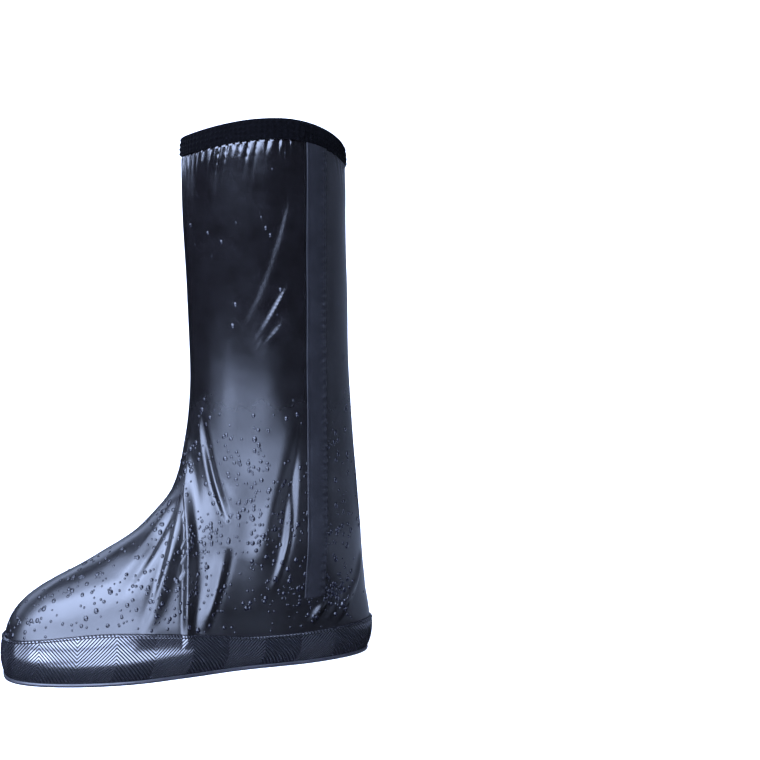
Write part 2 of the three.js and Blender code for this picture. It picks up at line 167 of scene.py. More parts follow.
# Folds: the side, then start, bend and end as shares of the sole's length and the cover's height, the
# half width and the rise in metres, and lean, which is above 0 where the face towards the heel is steep.
fold_columns = (
    "side", "from_along", "from_up", "via_along", "via_up", "to_along", "to_up", "wide", "rise", "lean",
)
folds = np.array(
    [
        (-1, 0.768, 0.945, 0.71, 0.71, 0.632, 0.626, 0.0060, 0.0008, 0.2),
        (-1, 0.752, 0.93, 0.69, 0.74, 0.604, 0.626, 0.0040, -0.0006, 0.0),
        (-1, 0.763, 0.733, 0.689, 0.649, 0.64, 0.59, 0.0030, 0.0009, 0.4),
        (-1, 0.744, 0.652, 0.7, 0.62, 0.658, 0.585, 0.0030, 0.0006, 0.2),
        (-1, 0.764, 0.48, 0.69, 0.33, 0.655, 0.2, 0.0110, 0.0028, 0.3),
        (-1, 0.785, 0.47, 0.72, 0.3, 0.69, 0.16, 0.0120, -0.0018, 0.0),
        (-1, 0.735, 0.345, 0.745, 0.235, 0.685, 0.14, 0.0030, 0.0014, 0.3),
        (-1, 0.52, 0.469, 0.523, 0.366, 0.574, 0.279, 0.0042, -0.0032, -0.2),
        (-1, 0.565, 0.235, 0.54, 0.15, 0.5, 0.08, 0.0060, 0.0036, 0.3),
        (-1, 0.492, 0.42, 0.455, 0.21, 0.455, 0.055, 0.0048, 0.0052, -0.5),
        (-1, 0.479, 0.348, 0.415, 0.2, 0.345, 0.085, 0.0060, 0.0036, -0.3),
        (-1, 0.46, 0.32, 0.41, 0.26, 0.29, 0.155, 0.0060, -0.0030, 0.2),
        (-1, 0.866, 0.15, 0.84, 0.11, 0.8, 0.075, 0.0042, 0.0028, 0.2),
        (-1, 0.935, 0.15, 0.92, 0.11, 0.87, 0.07, 0.0050, 0.0022, 0.2),
        (-1, 0.895, 0.13, 0.88, 0.105, 0.85, 0.078, 0.0028, 0.0016, 0.3),
        (-1, 0.962, 0.2, 0.955, 0.16, 0.93, 0.12, 0.0036, 0.0016, 0.3),
        (1, 0.52, 0.34, 0.53, 0.2, 0.56, 0.09, 0.0070, 0.0036, -0.3),
        (1, 0.53, 0.4, 0.62, 0.25, 0.68, 0.12, 0.0080, 0.0034, 0.2),
        (1, 0.47, 0.27, 0.42, 0.18, 0.37, 0.1, 0.0070, 0.0030, -0.2),
        (1, 0.12, 0.11, 0.2, 0.13, 0.3, 0.11, 0.0070, 0.0020, 0.0),
        (1, 0.62, 0.5, 0.72, 0.36, 0.84, 0.2, 0.0130, -0.0036, 0.0),
        (1, 0.86, 0.9, 0.84, 0.7, 0.76, 0.52, 0.0100, 0.0028, 0.2),
    ],
    dtype=[(c, float) for c in fold_columns],
)
fold_samples = 16

# How finely the sheets are divided
turns_round = 380
outer_side_turns = 285
leg_rows = 100
foot_rows = 126
gathered_rows, gathered_share = 0.26, 0.12  # the share of the leg's rows that its gathered top gets
upper_rows = leg_rows + foot_rows
upper_inner_rows = 30
ankle_up = 0.46  # where the foot's rows end

# Where the columns of the upper's grid run on the outer side, as shares of the half turn from the back
# to the toe, at the foot and at the ankle. They fan out along the folds of the instep.
column_fan = np.array(
    [
        (0, 0, 0),
        (0.3, 0.27, 0.4),
        (0.56, 0.49, 0.8),
        (0.7, 0.53, 0.922),
        (0.8, 0.56, 0.95),
        (0.88, 0.6, 0.965),
        (1, 1, 1),
    ],
    dtype=[("share", float), ("foot", float), ("ankle", float)],
)
fan_low, fan_high, fan_bend = 0.055, 0.42, 0.263

random = np.random.default_rng(7)


def mix(a, b, share):
    return a + (b - a) * share


def smooth(share):
    """0 below 0, 1 above 1, and an S curve between."""
    t = np.clip(share, 0, 1)
    return t * t * (3 - 2 * t)


def read_table(rows, by, name, at):
    """A smooth curve through the rows: a cubic in each span, whose end slopes join the rows beside it."""
    xs, ys = rows[by], rows[name]
    i = np.clip(np.searchsorted(xs, at, side="left") - 1, 0, len(xs) - 2)
    before, after = np.maximum(i - 1, 0), np.minimum(i + 2, len(xs) - 1)
    span = xs[i + 1] - xs[i]
    t = np.clip((at - xs[i]) / span, 0, 1)
    slope_here = (ys[i + 1] - ys[before]) / (xs[i + 1] - xs[before]) * span
    slope_next = (ys[after] - ys[i]) / (xs[after] - xs[i]) * span
    t2, t3 = t * t, t * t * t
    return (
        (2 * t3 - 3 * t2 + 1) * ys[i]
        + (t3 - 2 * t2 + t) * slope_here
        + (3 * t2 - 2 * t3) * ys[i + 1]
        + (t3 - t2) * slope_next
    )


def level_edges(up):
    """The middle and half length of the section at a share of the height."""
    back = sole_length - leg_depth * read_table(levels, "up", "back_in", up)
    leg_front = back - leg_depth * read_table(levels, "up", "deep", up)
    front = leg_front * (1 - read_table(levels, "up", "reach", up))
    return (back + front) / 2, (back - front) / 2


def base_point(turn, up):
    """The smooth outer face, before folds. The section is a rounded oval: x runs with the cosine of turn,
    and y with the height of a superellipse, times a half width that changes along the foot."""
    middle, half = level_edges(up)
    lengthwise, across = np.cos(turn), np.sin(turn)
    x = middle + half * lengthwise
    square = read_table(levels, "up", "square", up)
    roundness = np.power(np.maximum(1 - np.abs(lengthwise) ** square, 0), 1 / square)
    slim = mix(
        read_table(levels, "up", "toe_slim", up),
        read_table(levels, "up", "heel_slim", up),
        smooth((lengthwise + 1) / 2),
    )
    along = x / sole_length
    foot = (
        ball_width * read_table(foot_widths, "along", "ball", along)
        + waist_width * read_table(foot_widths, "along", "waist", along)
        + heel_width * read_table(foot_widths, "along", "heel", along)
    ) / 2
    width = mix(foot, leg_width / 2, read_table(levels, "up", "leg", up)) * slim
    inward = toe_inward * (1 - along) ** 2
    drop = np.where(lengthwise > 0, rim_back_drop, rim_front_drop) * lengthwise**2
    z = cover_height * up - drop * smooth((up - rim_drop_start) / (1 - rim_drop_start))
    return np.stack([x, inward - np.sign(across) * width * roundness, z + 0 * x], -1)


def base_normal(turn, up):
    """The outward direction: the cross product of the steps up and around, level at the floor."""
    step = 0.004
    around = base_point(turn + step, up) - base_point(turn - step, up)
    upward = base_point(turn, np.minimum(1, up + step)) - base_point(turn, np.maximum(0, up - step))
    normal = np.cross(upward, around)
    normal /= np.linalg.norm(normal, axis=-1, keepdims=True)
    normal[..., 2] *= smooth(up / 0.03)
    return normal / np.linalg.norm(normal, axis=-1, keepdims=True)


def turn_at(along, up, side):
    """The turn at which a level passes a share of the sole's length, on one side."""
    middle, half = level_edges(up)
    turn = np.arccos(np.clip((along * sole_length - middle) / half, -0.999, 0.999))
    return np.where(side < 0, turn, 2 * math.pi - turn)


def fold_line(fold):
    """A fold's line on the smooth face: a curve with one bend, in the shares of its row."""
    t = np.linspace(0, 1, fold_samples + 1)
    curve = lambda a, b, c: (1 - t) ** 2 * a + 2 * t * (1 - t) * b + t * t * c
    along = curve(fold["from_along"], fold["via_along"], fold["to_along"])
    up = curve(fold["from_up"], fold["via_up"], fold["to_up"])
    return base_point(turn_at(along, up, fold["side"]), up)


def fold_lift(fold, points):
    """How far one fold lifts the points: a crest between two shallow troughs, narrower on the side that it
    leans to, and fading at both ends."""
    line = fold_line(fold)
    nearest = np.full(points.shape[:-1], np.inf)
    place = np.zeros(points.shape[:-1])
    heelward = np.ones(points.shape[:-1])
    for i in range(fold_samples):
        a, b = line[i], line[i + 1]
        t = np.clip((points - a) @ (b - a) / ((b - a) @ (b - a)), 0, 1)
        offset = points - (a + t[..., None] * (b - a))
        distance = np.linalg.norm(offset, axis=-1)
        closer = distance < nearest
        nearest = np.where(closer, distance, nearest)
        place = np.where(closer, (i + t) / fold_samples, place)
        direction = (b - a) / np.linalg.norm(b - a)
        side_way = offset[..., 0] * abs(direction[2]) + offset[..., 2] * direction[0]
        heelward = np.where(closer, np.sign(side_way), heelward)
    q = nearest / (fold["wide"] * (1 - fold["lean"] * heelward))
    fade = np.sin(math.pi * place) ** 0.8
    return fold["rise"] * fade * (1 - 0.9 * q * q) * np.exp(-q * q)


def waves(points, count, length, stretch):
    """Smooth noise from -1 to 1: a mean of sine waves with seeded directions, near one wavelength."""
    total = np.zeros(points.shape[:-1])
    for _ in range(count):
        way = random.normal(size=3) * np.array([1, 1, stretch])
        way /= np.linalg.norm(way)
        wavelength = length * random.uniform(0.7, 1.4)
        total += np.sin(points @ way * 2 * math.pi / wavelength + random.uniform(0, 6.3))
    return total / math.sqrt(count)


cuff_up = 1 - cuff_height / cover_height


def flap_front_turn(up):
    return turn_at(flap_front_along, up, -1)


def flap_back_turn(up):
    return turn_at(flap_back_along, up, -1)


def looseness(turn, up):
    """How freely the sheet folds: 1 away from the flap, 0 under it, with a short slope between."""
    edge, margin = flap_calm_edge / (leg_width / 2), flap_calm_margin / (leg_width / 2)
    front = smooth((turn - flap_front_turn(up) - margin) / edge)
    back = smooth((flap_back_turn(up) - turn - margin) / edge)
    below = smooth((flap_bottom - flap_calm_margin - up * cover_height) / flap_calm_edge)
    return np.minimum(1, np.maximum(np.maximum(front, back), below))


def gathers(turn, up):
    """Pleats that hang from the cuff: narrow valleys between round ridges, about the sheet's own face,
    uneven in depth and length round the leg, slanting, and dying away downwards."""
    below = np.maximum(cuff_up - up, 0) * cover_height
    patches = smooth(0.5 + 0.9 * np.sin(7 * turn + 1.1) * np.sin(13 * turn + 0.4))
    uneven = gather_evenness + gather_unevenness * patches
    drift = 1.9 * np.sin(3 * turn) + 1.2 * np.sin(8 * turn + 2)
    drift = drift + gather_slant * below * np.sin(2 * turn + 0.5)
    ridge = np.abs(np.sin((gather_count * turn + drift) / 2))
    reach = gather_length * (0.4 + 0.8 * np.sin(7 * turn + 0.7) ** 4)
    valley = (1 + gather_ridge) * (1 - ridge) ** 2 - gather_ridge
    return -gather_depth * uneven * valley * np.exp(-below / reach) * (up < cuff_up)


def lift(turn, up):
    """How far the folds, gathers and soft undulations move the outer face."""
    point = base_point(turn, up)
    below_cuff = smooth((cuff_up - fold_top_margin - up) / fold_top_growth)
    settled = below_cuff * smooth(up / fold_foot_growth)
    folded = sum(fold_lift(fold, point) for fold in folds)
    soft = sway_depth * waves(point, 9, sway_length, 0.35)
    soft = soft + ripple_depth * waves(point, 9, ripple_length, 0.3)
    above_band = smooth((up - sway_foot) / sway_foot_growth)
    return ((folded + soft * above_band) * settled + gathers(turn, up)) * looseness(turn, up)


def column_turns(up):
    """Turns of the grid's columns at each height, which move from the foot's to the ankle's."""
    outer = np.linspace(0, 1, outer_side_turns, endpoint=False)
    inner = np.linspace(1, 2, turns_round - outer_side_turns, endpoint=False)
    foot = np.concatenate([np.interp(outer, column_fan["share"], column_fan["foot"]), inner])
    ankle = np.concatenate([np.interp(outer, column_fan["share"], column_fan["ankle"]), inner])
    risen = np.clip((up - fan_low) / (fan_high - fan_low), 0, 1)
    return math.pi * mix(foot, ankle, (1 - fan_bend) * risen + fan_bend * risen**2)


# The part's origin lies under the middle of its box, so the outsole's place gives the shift.
rim_turns = column_turns(0)
sole_line = base_point(rim_turns, np.zeros(turns_round))
sole_edge = clearance + band_thickness + welt_width
sole_line = sole_line + base_normal(rim_turns, np.zeros(turns_round)) * sole_edge
outsole_low, outsole_high = (np.array(corner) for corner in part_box("outsole"))
shift = (outsole_low + outsole_high) / 2 - (sole_line.min(axis=0) + sole_line.max(axis=0)) / 2
shift[2] = 0


def skin(turn, up, offset, lifted):
    """Points at an offset outside the sheet's outer face, in the part's frame."""
    return base_point(turn, up) + base_normal(turn, up) * (lifted + offset)[..., None] + shift


def band_top_up(turn):
    """The band's top edge, as a share of the height."""
    along = base_point(turn, np.full(np.shape(turn), 0.07))[..., 0] / sole_length
    return read_table(band_tops, "along", "up", along)


def hem_up(turn):
    return band_top_up(turn) - band_overlap / cover_height


def grid_faces(rows, columns, close_rows, close_columns):
    """Four-sided faces over a grid of points, which may close on itself either way."""
    r = np.arange(rows if close_rows else rows - 1)[:, None]
    c = np.arange(columns if close_columns else columns - 1)[None, :]
    r2, c2 = (r + 1) % rows, (c + 1) % columns
    corners = [r * columns + c, r2 * columns + c, r2 * columns + c2, r * columns + c2]
    return np.stack(np.broadcast_arrays(*corners), -1).reshape(-1, 4)


def make_piece(name, points, faces, uv=None):
    """A smooth mesh from points and four-sided faces, with an optional map of two lengths per point."""
    mesh = bpy.data.meshes.new(name)
    mesh.from_pydata(points.reshape(-1, 3).tolist(), [], faces.tolist())
    mesh.polygons.foreach_set("use_smooth", np.ones(len(faces), bool))
    if uv is not None:
        layer = mesh.uv_layers.new(name="surface")
        corner = np.zeros(len(mesh.loops), np.int32)
        mesh.loops.foreach_get("vertex_index", corner)
        layer.data.foreach_set("uv", uv.reshape(-1, 2)[corner].astype(np.float32).ravel())
    mesh.update()
    piece = bpy.data.objects.new(name, mesh)
    bpy.context.scene.collection.objects.link(piece)
    return piece


def outward(piece):
    """Turns the faces of a closed mesh outwards if its signed volume is negative."""
    mesh = piece.data
    co = np.zeros(len(mesh.vertices) * 3)
    mesh.vertices.foreach_get("co", co)
    co = co.reshape(-1, 3)
    index = np.zeros(len(mesh.loops), np.int32)
    mesh.loops.foreach_get("vertex_index", index)
    quad = co[index.reshape(-1, 4)]
    volume = np.einsum("ij,ij->", quad[:, 0], np.cross(quad[:, 1], quad[:, 2]))
    volume += np.einsum("ij,ij->", quad[:, 0], np.cross(quad[:, 2], quad[:, 3]))
    if volume < 0:
        mesh.flip_normals()
    return piece


def lengths_round(points):
    """Distance round each row of a closed grid, in metres, with one value for each point."""
    steps = np.linalg.norm(np.roll(points, -1, axis=1) - points, axis=-1)
    return np.cumsum(steps, axis=1) - steps


def hand_over(piece, node, material):
    """The piece rides on the part, stands for its CAD node and takes its material."""
    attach(piece, "root")
    if node:
        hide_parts(node)
    piece.data.materials.append(material)


# Materials


def new_group(name, inputs, outputs):
    """An empty node group with float or colour sockets: inputs is (name, default), outputs (name, kind)."""
    group = bpy.data.node_groups.new(name, "ShaderNodeTree")
    for label, value in inputs:
        socket = group.interface.new_socket(label, in_out="INPUT", socket_type="NodeSocketFloat")
        socket.default_value = value
    for label, kind in outputs:
        group.interface.new_socket(label, in_out="OUTPUT", socket_type=kind)
    return group, group.nodes.new("NodeGroupInput"), group.nodes.new("NodeGroupOutput")


class Wires:
    """Short forms for adding and linking the nodes of one tree."""

    def __init__(self, tree):
        self.tree = tree

    def put(self, target, value):
        if isinstance(value, bpy.types.NodeSocket):
            self.tree.links.new(value, target)
        else:
            target.default_value = value

    def node(self, kind, values=(), **settings):
        node = self.tree.nodes.new(kind)
        for key, value in settings.items():
            setattr(node, key, value)
        for socket, value in dict(values).items():
            self.put(node.inputs[socket], value)
        return node

    def math(self, operation, a, b=0.0, c=0.0):
        node = self.node("ShaderNodeMath", operation=operation)
        for i, value in enumerate((a, b, c)):
            self.put(node.inputs[i], value)
        return node.outputs[0]

    def span(self, value, low, high, to_low=0.0, to_high=1.0):
        node = self.node(
            "ShaderNodeMapRange",
            {"Value": value, "From Min": low, "From Max": high, "To Min": to_low, "To Max": to_high},
        )
        return node.outputs["Result"]

    def noise(self, vector, scale, detail=3.0, rough=0.5):
        values = {"Vector": vector, "Scale": scale, "Detail": detail, "Roughness": rough}
        return self.node("ShaderNodeTexNoise", values).outputs["Fac"]

    def blend(self, share, a, b):
        node = self.node("ShaderNodeMix", data_type="RGBA")
        self.put(node.inputs[0], share)
        self.put(node.inputs[6], a)
        self.put(node.inputs[7], b)
        return node.outputs[2]


def build_film():
    """Coated film: long soft wrinkles that run down the sheet, finer crumples, and a hint of grain."""
    group, given, out = new_group(
        "film_surface",
        [("Wrinkle Scale", 26.0), ("Stretch", 0.35), ("Crumple", 0.35), ("Grain", 0.06)],
        [("Height", "NodeSocketFloat"), ("Mottle", "NodeSocketFloat")],
    )
    w = Wires(group)
    place = w.node("ShaderNodeTexCoord").outputs["Object"]
    squash = w.node("ShaderNodeCombineXYZ", {"X": 1.0, "Y": 1.0, "Z": given.outputs["Stretch"]}).outputs[0]
    long_way = w.node("ShaderNodeVectorMath", {0: place, 1: squash}, operation="MULTIPLY").outputs[0]
    wrinkles = w.noise(long_way, given.outputs["Wrinkle Scale"], 2.0, 0.45)
    fine_scale = w.math("MULTIPLY", given.outputs["Wrinkle Scale"], 5.0)
    crumple = w.noise(place, fine_scale, 4.0, 0.55)
    grain = w.noise(place, 1900.0, 1.0, 0.5)
    height = w.math("MULTIPLY_ADD", crumple, given.outputs["Crumple"], wrinkles)
    height = w.math("MULTIPLY_ADD", grain, given.outputs["Grain"], height)
    w.put(out.inputs["Height"], height)
    w.put(out.inputs["Mottle"], w.noise(place, 60.0, 3.0, 0.6))
    return group


def build_herringbone():
    """Herringbone relief on a map in metres: ribs at 45 degrees to the band's edges, which turn at a right
    angle at every block's end."""
    group, given, out = new_group(
        "herringbone_relief",
        [("Rib Pitch", 0.0028), ("Block Length", 0.03)],
        [("Height", "NodeSocketFloat"), ("Groove Shade", "NodeSocketFloat")],
    )
    w = Wires(group)
    split = w.node("ShaderNodeSeparateXYZ", {0: w.node("ShaderNodeUVMap", uv_map="surface").outputs[0]})
    zigzag = w.math("PINGPONG", split.outputs[0], given.outputs["Block Length"])
    across = w.math("ADD", zigzag, split.outputs[1])
    phase = w.math("MULTIPLY", w.math("DIVIDE", across, given.outputs["Rib Pitch"]), 2 * math.pi)
    wave = w.math("SINE", phase)
    w.put(out.inputs["Height"], w.span(wave, -0.8, 0.8))
    # Groove Shade is a mask for painted shade: it darkens the band's base colour in the grooves.
    w.put(out.inputs["Groove Shade"], w.span(wave, -0.1, -0.8))
    return group


film = build_film()
herringbone = build_herringbone()


def new_material(name, colour, roughness, **constants):
    """A material with a Principled shader whose constant values are set on its own sockets."""
    material = bpy.data.materials.new(name)
    material.use_nodes = True
    shader = material.node_tree.nodes["Principled BSDF"]
    shader.inputs["Base Color"].default_value = (*colour, 1)
    shader.inputs["Roughness"].default_value = roughness
    for key, value in constants.items():
        shader.inputs[key.replace("_", " ")].default_value = value
    material.diffuse_color = (*colour, 1)
    return material, shader, Wires(material.node_tree)


mist_top, mist_full = 0.3, 0.18  # heights between which the mist of water thickens downwards


def sheet_material(name, dark, pale, gloss, dull, crumple, depth, specular=0.5, wet=0.0):
    """Film whose colour and roughness drift softly between dark and pale and between gloss and dull, with
    its wrinkles as a bump. wet is the roughness that a fine mist of water adds on the foot and ankle."""
    material, shader, w = new_material(name, dark, gloss, IOR=1.56, Specular_IOR_Level=specular)
    surface = w.node("ShaderNodeGroup", node_tree=film)
    surface.inputs["Crumple"].default_value = crumple
    mottle = w.span(surface.outputs["Mottle"], 0.3, 0.7)
    w.put(shader.inputs["Base Color"], w.blend(mottle, (*dark, 1), (*pale, 1)))
    roughness = w.span(surface.outputs["Mottle"], 0.3, 0.7, gloss, dull)
    if wet:
        place = w.node("ShaderNodeTexCoord").outputs["Object"]
        height = w.node("ShaderNodeSeparateXYZ", {0: place}).outputs[2]
        roughness = w.math("ADD", roughness, w.span(height, mist_top, mist_full, 0.0, wet))
    w.put(shader.inputs["Roughness"], roughness)
    bump = w.node("ShaderNodeBump", {"Height": surface.outputs["Height"], "Strength": 1.0, "Distance": depth})
    w.put(shader.inputs["Normal"], bump.outputs[0])
    return material


coated_sheet = sheet_material(
    "coated_sheet",
    dark=(0.0016, 0.0014, 0.0016),
    pale=(0.0026, 0.0024, 0.0028),
    gloss=0.13,
    dull=0.17,
    crumple=0.2,
    depth=0.0003,
    wet=0.17,
)
flap_sheet = sheet_material(
    "flap_sheet",
    dark=(0.003, 0.003, 0.004),
    pale=(0.0045, 0.0045, 0.006),
    gloss=0.38,
    dull=0.5,
    crumple=0.5,
    depth=0.0006,
    specular=0.25,
)


def build_ribbed_band():
    """Embossed band: the herringbone's ribs have a bright glossy coat, and its dull grooves carry painted
    shade.
    """
    material, shader, w = new_material(
        "ribbed_band", (0.004, 0.004, 0.006), 0.5, Specular_IOR_Level=0.1, Coat_IOR=1.9, Coat_Roughness=0.16
    )
    relief = w.node("ShaderNodeGroup", node_tree=herringbone)
    surface = w.node("ShaderNodeGroup", node_tree=film)
    # Painted shade: the base colour turns darker in the herringbone's grooves.
    w.put(
        shader.inputs["Base Color"],
        w.blend(relief.outputs["Groove Shade"], (0.006, 0.006, 0.008, 1), (0.0015, 0.0015, 0.002, 1)),
    )
    w.put(shader.inputs["Coat Weight"], relief.outputs["Height"])
    w.put(shader.inputs["Roughness"], w.span(surface.outputs["Mottle"], 0.3, 0.7, 0.4, 0.6))
    soft = w.node("ShaderNodeBump", {"Height": surface.outputs["Height"], "Distance": 0.001})
    ribs = w.node("ShaderNodeBump", {"Height": relief.outputs["Height"], "Distance": 0.0006})
    w.put(ribs.inputs["Normal"], soft.outputs[0])
    w.put(shader.inputs["Normal"], ribs.outputs[0])
    return material


cord_pitch, thread_pitch = 0.0011, 0.0009


def build_cuff_elastic():
    """Shirred elastic: fine cords that run round the leg, crossed by short puckers, on the cuff's map."""
    material, shader, w = new_material("cuff_elastic", (0.003, 0.003, 0.004), 0.9, Specular_IOR_Level=0.03)
    split = w.node("ShaderNodeSeparateXYZ", {0: w.node("ShaderNodeUVMap", uv_map="surface").outputs[0]})
    cord = w.math("SINE", w.math("MULTIPLY", split.outputs[1], 2 * math.pi / cord_pitch))
    thread = w.math("SINE", w.math("MULTIPLY", split.outputs[0], 2 * math.pi / thread_pitch))
    weave = w.math("MULTIPLY_ADD", thread, 0.4, cord)
    lint = w.noise(w.node("ShaderNodeTexCoord").outputs["Object"], 700.0, 3.0, 0.6)
    w.put(
        shader.inputs["Base Color"],
        w.blend(w.span(lint, 0.35, 0.7), (0.0006, 0.0006, 0.0009, 1), (0.0016, 0.0016, 0.0022, 1)),
    )
    w.put(shader.inputs["Roughness"], w.span(lint, 0.3, 0.7, 0.7, 0.92))
    bump = w.node("ShaderNodeBump", {"Height": weave, "Distance": 0.00018, "Strength": 0.8})
    w.put(shader.inputs["Normal"], bump.outputs[0])
    return material


def build_sole_sheet():
    """The outsole's dull dark film, with soft wrinkles."""
    material, shader, w = new_material("sole_sheet", (0.007, 0.007, 0.009), 0.4, IOR=1.53)
    surface = w.node("ShaderNodeGroup", node_tree=film)
    surface.inputs["Crumple"].default_value = 0.6
    w.put(shader.inputs["Roughness"], w.span(surface.outputs["Mottle"], 0.3, 0.7, 0.28, 0.5))
    w.put(
        shader.inputs["Base Color"],
        w.blend(surface.outputs["Mottle"], (0.006, 0.006, 0.008, 1), (0.014, 0.014, 0.018, 1)),
    )
    bump = w.node("ShaderNodeBump", {"Height": surface.outputs["Height"], "Distance": 0.0006})
    w.put(shader.inputs["Normal"], bump.outputs[0])
    return material


ribbed_band = build_ribbed_band()
cuff_elastic = build_cuff_elastic()
sole_sheet = build_sole_sheet()
water, _, _ = new_material("water_on_film", (0.003, 0.003, 0.0045), 0.04, IOR=1.4)


# Pieces


def make_upper():
    """The sheet: a grid of turns and heights outside, from the hem inside the band to the rim inside the
    cuff, and back down on the inner face, a sheet's thickness further in."""
    rim_up = 1 - (cuff_thickness + clearance) / cover_height
    foot = np.linspace(0, 1, foot_rows, endpoint=False)[:, None]
    leg = np.interp(np.linspace(0, 1, leg_rows), (0, 1 - gathered_rows, 1), (0, 1 - gathered_share, 1))
    low_rows = mix(hem_up(rim_turns)[None, :], ankle_up, foot)
    high_rows = mix(ankle_up, rim_up, leg[:, None]) + np.zeros(turns_round)
    up = np.concatenate([low_rows, high_rows])
    turn = column_turns(up)
    lifted = lift(turn, up)
    outer = skin(turn, up, np.zeros(up.shape), lifted)
    pick = np.linspace(upper_rows - 1, 0, upper_inner_rows).astype(int)
    inner = skin(turn[pick], up[pick], np.full(up[pick].shape, -sheet_thickness), lifted[pick])
    points = np.concatenate([outer, inner])
    uv = np.stack([lengths_round(points), points[..., 2]], -1)
    faces = grid_faces(len(points), turns_round, True, True)
    piece = outward(make_piece("upper_sheet", points, faces, uv))
    hand_over(piece, "upper_shell", coated_sheet)
    return outer, turn, up


def make_cuff():
    """The cuff: a folded band's section carried round the rim. Rows of stitches pull it in along its
    height, and puckers between the rows lift it in short waves round the leg. Its end laps over it, with
    round corners, at the flap's front edge."""
    turn = np.linspace(0, 2 * math.pi, 4 * turns_round, endpoint=False)
    rows_outside = 33
    rise = np.linspace(0, 1, rows_outside)
    inner_face = -(sheet_thickness + clearance)
    between = np.sin(cuff_rows * math.pi * rise) ** 2
    wave = np.sin(cuff_puckers * turn + 2.2 * np.sin(6 * turn))
    pucker = cuff_pucker_depth * between[:, None] * wave[None, :]
    outside_up = np.broadcast_to(mix(cuff_up, 0.9985, rise)[:, None], pucker.shape)
    bulge = cuff_bulge * np.sin(math.pi * rise)[:, None] - cuff_stitch_pull * (1 - between)[:, None]
    lap_end = flap_front_turn(0.97) + lap_rounding * (2 * rise - 1)[:, None] ** 2
    lap = lap_thickness * smooth((turn[None, :] - lap_end) / lap_edge)
    lap = lap * smooth((lap_end + lap_reach - turn) / lap_run_out)
    behind = lap_step_behind * smooth((lap_end - turn) / 0.1) * smooth((turn - 0.1) / 0.3)
    outside = clearance + cuff_thickness + pucker + bulge + lap - behind
    inside = [
        (1.0, clearance),
        (1.0, inner_face - cuff_thickness / 2),
        (0.998, inner_face - cuff_thickness),
        (1 - cuff_inner_height / cover_height, inner_face - cuff_thickness),
        (1 - cuff_inner_height / cover_height, inner_face),
        (1 - cuff_thickness / cover_height, inner_face),
        (1 - cuff_thickness / cover_height, clearance),
        (cuff_up, clearance),
    ]
    up = np.concatenate([outside_up, [np.full(len(turn), row[0]) for row in inside]])
    offset = np.concatenate([outside, [np.full(len(turn), row[1]) for row in inside]])
    grid_turn = np.broadcast_to(turn, up.shape)
    points = skin(grid_turn, up, offset, np.zeros(up.shape))
    across = np.broadcast_to(np.linspace(0, cuff_section, len(points))[:, None], up.shape)
    uv = np.stack([lengths_round(points), across], -1)
    faces = grid_faces(len(points), len(turn), True, True)
    piece = outward(make_piece("cuff", points, faces, uv))
    hand_over(piece, "cuff_band", cuff_elastic)


def make_flap():
    """The flap: a strip between its two edges and two heights, a flap's thickness deep. It swells a little
    along its middle, dips along two rows of stitches, and its free front edge stands up."""
    rows, columns = 420, 22
    up = mix(flap_bottom / cover_height, cuff_up - clearance / cover_height, np.linspace(0, 1, rows))[:, None]
    share = np.linspace(0, 1, columns)[None, :]
    turn = mix(flap_back_turn(up), flap_front_turn(up), share)
    up = np.broadcast_to(up, turn.shape)
    stitch_rows = np.exp(-(((share - flap_back_stitches) / 0.035) ** 2))
    stitch_rows = stitch_rows + 0.6 * np.exp(-(((share - flap_front_stitches) / 0.03) ** 2))
    z = up * cover_height
    puckers = flap_pucker_depth * np.sin(z * 2 * math.pi / flap_pucker_length + 2 * np.sin(z * 41))
    puckers = puckers * np.exp(-(((share - flap_back_stitches) / 0.16) ** 2))
    edge = flap_edge_rise * smooth((share - flap_edge_start) / (1 - flap_edge_start))
    edge = edge * (0.6 + 0.4 * np.sin(z * 70))
    top = flap_swell * (np.sin(math.pi * share) - stitch_rows) + puckers + edge
    under = flap_clearance + edge * 0.8
    lifted = lift(turn, up)
    outer = skin(turn, up, flap_clearance + flap_thickness + top, lifted)
    inner = skin(turn, up, np.broadcast_to(under, up.shape), lifted)
    points = np.concatenate([outer, inner[:, ::-1]], axis=1)
    faces = grid_faces(rows, 2 * columns, False, True)
    ends = []
    for row in (0, rows - 1):
        c = np.arange(columns - 1)
        start = row * 2 * columns
        back = start + 2 * columns - 1 - c
        ends.append(np.stack([start + c, start + c + 1, back - 1, back], -1))
    faces = np.concatenate([faces, ends[0], ends[1][:, ::-1]])
    piece = outward(make_piece("flap_strip", points, faces))
    hand_over(piece, "closure_flap", flap_sheet)


def make_band():
    """The band: a wall's section carried round the foot, from the outsole to a rounded lip. It bulges a
    little at mid height, and the sheet's folds run on into its upper part."""
    foot_up = (outsole_thickness + clearance) / cover_height
    turn = np.linspace(0, 2 * math.pi, 2 * turns_round, endpoint=False)
    top = band_top_up(turn)
    face = clearance + band_thickness
    lip = band_lip_height / cover_height
    rise = np.linspace(0, 1, 40)[:, None]
    wall_up = mix(foot_up, top - lip, rise)
    wall = face + band_bulge * np.sin(math.pi * rise) + 0 * wall_up
    arc = np.linspace(0, math.pi, 7)[:, None]
    lip_up = top - lip + lip * (1 - np.cos(arc)) / 2
    lip_out = face + band_lip * np.sin(arc) - (face - clearance) * (1 - np.cos(arc)) / 2
    inner_up = mix(top - lip, foot_up, np.linspace(0, 1, 8)[:, None])
    up = np.concatenate([wall_up, lip_up[1:], inner_up])
    offset = np.concatenate([wall, lip_out[1:] + 0 * lip_up[1:], clearance + 0 * inner_up])
    grid_turn = np.broadcast_to(turn, up.shape)
    points = skin(grid_turn, up, offset, lift(grid_turn, up))
    uv = np.stack([lengths_round(points), points[..., 2]], -1)
    faces = grid_faces(len(points), len(turn), True, True)
    piece = outward(make_piece("herringbone_band", points, faces, uv))
    hand_over(piece, "sole_band", ribbed_band)


